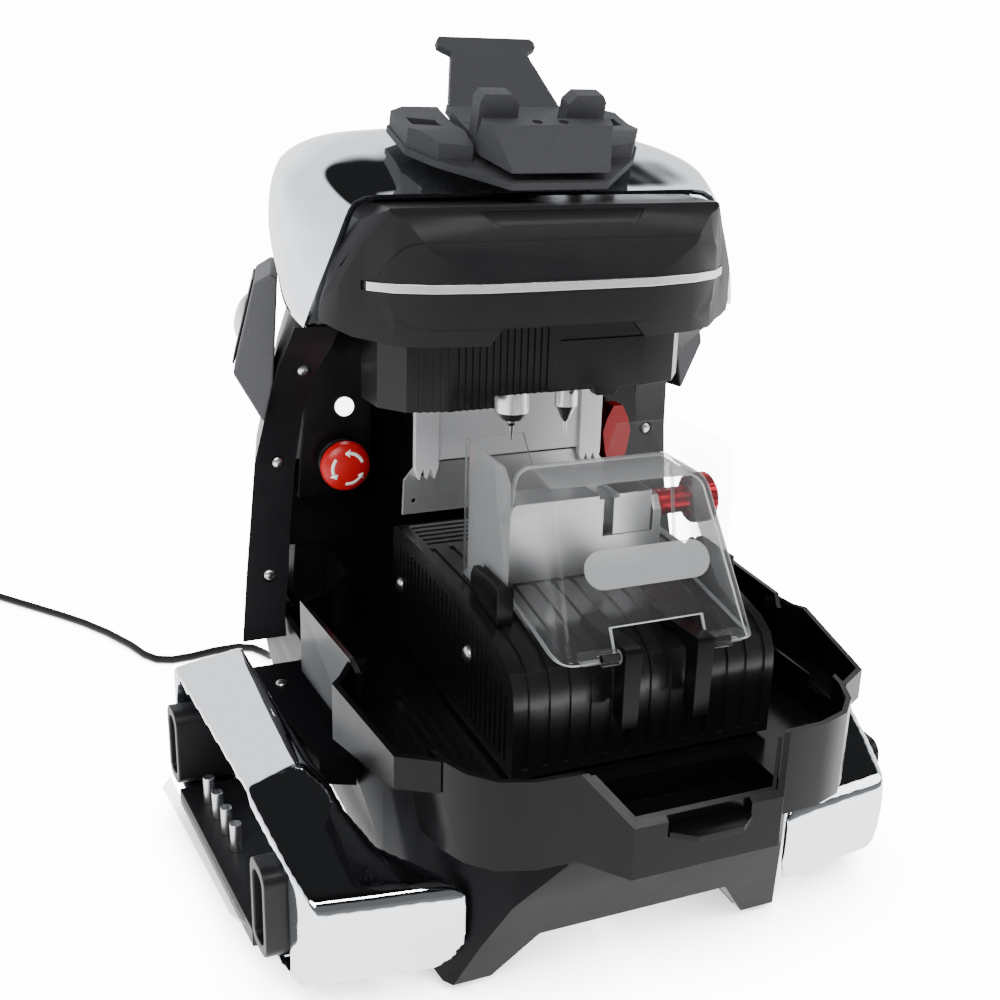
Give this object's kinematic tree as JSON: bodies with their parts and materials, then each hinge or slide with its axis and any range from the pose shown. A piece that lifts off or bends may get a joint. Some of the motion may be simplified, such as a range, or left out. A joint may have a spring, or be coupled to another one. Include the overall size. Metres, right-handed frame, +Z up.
{
  "type": "key duplicating machine",
  "caption": "Desktop key duplicating machine with a moving table, clear guards, a vise, a cutter spindle and probe under a hooded head, and a phone holder on top.",
  "frame": {"origin": "on the floor, under the middle of the machine without its cord", "axes": "+Z up; the operator stands at -Y; +X to the operator's right"},
  "size_m": [0.6355, 0.773, 0.4891],
  "materials": {
    "black_gloss": "black moulding, slightly glossy",
    "black_satin": "satin black",
    "grey_texture": "dark grey, fine grained texture",
    "chrome": "mirror finish",
    "steel": "turned and brushed",
    "dark_steel": "hardened cutter",
    "silver_metal": "matt silver",
    "vise_steel": "ground steel on a black base",
    "motor_black": "black",
    "board_green": "green board",
    "clear": "clear moulded plastic",
    "red_plastic": "red",
    "red_metal": "red anodised",
    "lamp_lens": "white lens",
    "rubber": "black rubber"
  },
  "bodies": {
    "machine": {"base_shell": "black_gloss", "base_plate": "steel", "rubber_feet": "rubber", "chip_tray": "black_gloss", "left_side_frame": "black_gloss", "right_side_frame": "black_gloss", "frame_screws": "steel", "rear_housing": "black_satin", "rear_cover": "black_satin", "left_inner_panel": "black_gloss", "right_inner_panel": "black_gloss", "estop_base": "black_satin", "status_lamp": "lamp_lens", "side_ears": "grey_texture", "ear_badges": "black_satin", "column_guard": "silver_metal", "guard_curtain": "silver_metal", "head_shell": "black_satin", "head_strip": "steel", "chrome_hood": "chrome", "phone_mount": "grey_texture", "left_pod": "chrome", "right_pod": "chrome", "pod_end_caps": "black_satin", "bit_shelves": "black_satin", "spare_bits": "steel", "pod_windows": "clear", "guide_rails": "steel", "axis_motors": "motor_black", "control_board": "board_green", "spindle_housing": "black_gloss", "probe_cover": "black_gloss", "work_light": "black_satin", "cord_gland": "rubber", "cord_lead": "rubber", "cord_coil": "rubber", "cord_plug": "rubber"},
    "y_stage": {"y_carriage": "silver_metal", "x_motor": "motor_black"},
    "table": {"table_slide": "silver_metal", "table_cover": "black_gloss", "cover_screws": "steel", "vise_body": "vise_steel", "rear_guard": "clear", "guard_brackets": "black_satin"},
    "jaw": {"vise_jaw": "vise_steel"},
    "knob": {"vise_knob": "red_metal"},
    "cover": {"front_cover": "clear"},
    "z_stage": {"z_carriage": "silver_metal", "spindle_motor": "motor_black", "probe_holder": "steel"},
    "tool": {"spindle": "steel", "cutter": "dark_steel"},
    "drawer": {"chip_drawer": "black_gloss"},
    "stop": {"estop_button": "red_plastic"},
    "switch": {"switch_handle": "red_plastic"},
    "cradle": {"phone_cradle": "grey_texture"},
    "y_feed": {"y_screw": "steel"},
    "z_feed": {"z_screw": "steel"},
    "x_feed": {"x_screw": "steel"}
  },
  "joints": [
    {"name": "y_axis", "type": "slide", "parent": "machine", "child": "y_stage", "axis": [0, 1, 0], "range_m": [-0.01, 0.062]},
    {"name": "x_axis", "type": "slide", "parent": "y_stage", "child": "table", "axis": [1, 0, 0], "range_m": [-0.02, 0.02]},
    {"name": "z_axis", "type": "slide", "parent": "machine", "child": "z_stage", "axis": [0, 0, 1], "range_m": [-0.022, 0.012]},
    {"name": "cutter_spin", "type": "hinge", "parent": "z_stage", "child": "tool", "pos_m": [-0.0175, 0.017, 0.3], "axis": [0, 0, 1], "continuous": true},
    {"name": "y_screw_spin", "type": "hinge", "parent": "machine", "child": "y_feed", "pos_m": [0, 0, 0.088], "axis": [0, 1, 0], "continuous": true},
    {"name": "z_screw_spin", "type": "hinge", "parent": "machine", "child": "z_feed", "pos_m": [0, 0.1, 0.3], "axis": [0, 0, 1], "continuous": true},
    {"name": "x_screw_spin", "type": "hinge", "parent": "y_stage", "child": "x_feed", "pos_m": [0, -0.031, 0.161], "axis": [1, 0, 0], "continuous": true},
    {"name": "knob_turn", "type": "hinge", "parent": "table", "child": "knob", "pos_m": [0.06, -0.045, 0.24], "axis": [1, 0, 0], "range_deg": [-1080, 0]},
    {"name": "jaw_slide", "type": "slide", "parent": "table", "child": "jaw", "axis": [1, 0, 0], "range_m": [-0.006, 0]},
    {"name": "cover_hinge", "type": "hinge", "parent": "table", "child": "cover", "pos_m": [0, -0.146, 0.2005], "axis": [1, 0, 0], "range_deg": [0, 100]},
    {"name": "drawer_lift", "type": "slide", "parent": "machine", "child": "drawer", "axis": [0, 0, 1], "range_m": [0, 0.028]},
    {"name": "stop_press", "type": "slide", "parent": "machine", "child": "stop", "axis": [0, 1, 0], "range_m": [0, 0.004], "stiffness_N_per_m": 1500},
    {"name": "switch_turn", "type": "hinge", "parent": "machine", "child": "switch", "pos_m": [0.094, 0.1, 0.237], "axis": [0, 1, 0], "range_deg": [0, 90]},
    {"name": "cradle_tilt", "type": "hinge", "parent": "machine", "child": "cradle", "pos_m": [0, 0.03633, 0.43226], "axis": [1, 0, 0], "range_deg": [-5, 5]}
  ],
  "couplings": [
    {"joint": "y_screw_spin", "follows": "y_axis", "rad_per_m": 1570.8},
    {"joint": "x_screw_spin", "follows": "x_axis", "rad_per_m": 1570.8},
    {"joint": "z_screw_spin", "follows": "z_axis", "rad_per_m": 1570.8},
    {"joint": "knob_turn", "follows": "jaw_slide", "rad_per_m": 3141.6}
  ]
}
